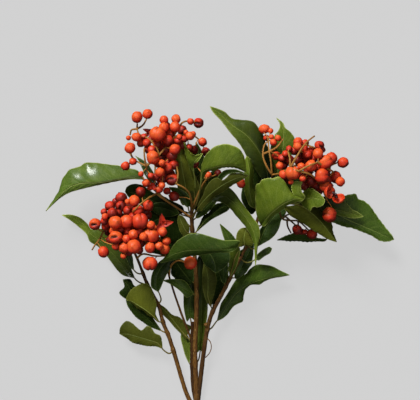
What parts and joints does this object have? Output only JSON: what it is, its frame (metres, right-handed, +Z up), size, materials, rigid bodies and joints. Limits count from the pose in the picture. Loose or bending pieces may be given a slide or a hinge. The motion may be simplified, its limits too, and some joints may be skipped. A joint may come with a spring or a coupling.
{
  "type": "pittosporum branch",
  "caption": "Cut leafy branch lying flat, with a forked woody stem, glossy wavy leaves and stalked clusters of ripe orange seed capsules.",
  "frame": {"origin": "centre of the bounding box's footprint, at the height of the table that the branch lies on", "axes": "+Z up from the table, +Y from the cut end of the stem towards the leafy top, +X to the right as seen from above with the cut end towards the viewer"},
  "size_m": [0.3864, 0.3703, 0.0991],
  "materials": {
    "wood": "rough brown bark with pale lenticels",
    "leaf": "glossy leathery green above, matt olive beneath",
    "fruit": "satin orange capsule skin"
  },
  "bodies": {
    "root": {"woody_stem": "wood", "leaf_west_long": "leaf", "leaf_south_west_long": "leaf", "leaf_south_west_small": "leaf", "leaf_north_west_dark": "leaf", "leaf_north_west_slim": "leaf", "leaf_north_west_back": "leaf", "leaf_north_upright": "leaf", "leaf_north_curl": "leaf", "leaf_north_dark": "leaf", "leaf_north_round": "leaf", "leaf_north_narrow": "leaf", "leaf_north_east_olive": "leaf", "leaf_east_dark_upper": "leaf", "leaf_east_dark_lower": "leaf", "leaf_hanging": "leaf", "leaf_round_olive": "leaf", "leaf_front": "leaf", "leaf_middle_dark": "leaf", "leaf_middle_olive": "leaf", "leaf_middle_shade": "leaf", "leaf_middle_slim": "leaf", "leaf_east_behind": "leaf", "leaf_middle_point": "leaf", "leaf_east_small": "leaf", "leaf_north_big": "leaf", "leaf_north_tall": "leaf", "leaf_east_fold": "leaf", "leaf_east_piece": "leaf", "leaf_east_curl": "leaf", "leaf_east_lower": "leaf", "leaf_east_long": "leaf", "leaf_east_second": "leaf", "leaf_east_edge": "leaf", "leaf_east_under": "leaf", "leaf_south_east_big": "leaf", "leaf_middle_left": "leaf", "leaf_middle_tip": "leaf", "leaf_west_top": "leaf", "leaf_south_west_round": "leaf", "leaf_south_west_dark": "leaf", "leaf_south_west_back": "leaf", "leaf_west_low": "leaf", "leaf_middle_long": "leaf", "leaf_low_green": "leaf", "leaf_low_behind": "leaf", "leaf_middle_back": "leaf", "leaf_back_north": "leaf", "leaf_back_east": "leaf", "leaf_back_middle": "leaf", "leaf_middle_west": "leaf", "fruit_west": "fruit", "fruit_north": "fruit", "fruit_top": "fruit", "fruit_east": "fruit", "fruit_east_low": "fruit", "fruit_single": "fruit", "fruit_low": "fruit"}
  },
  "joints": []
}
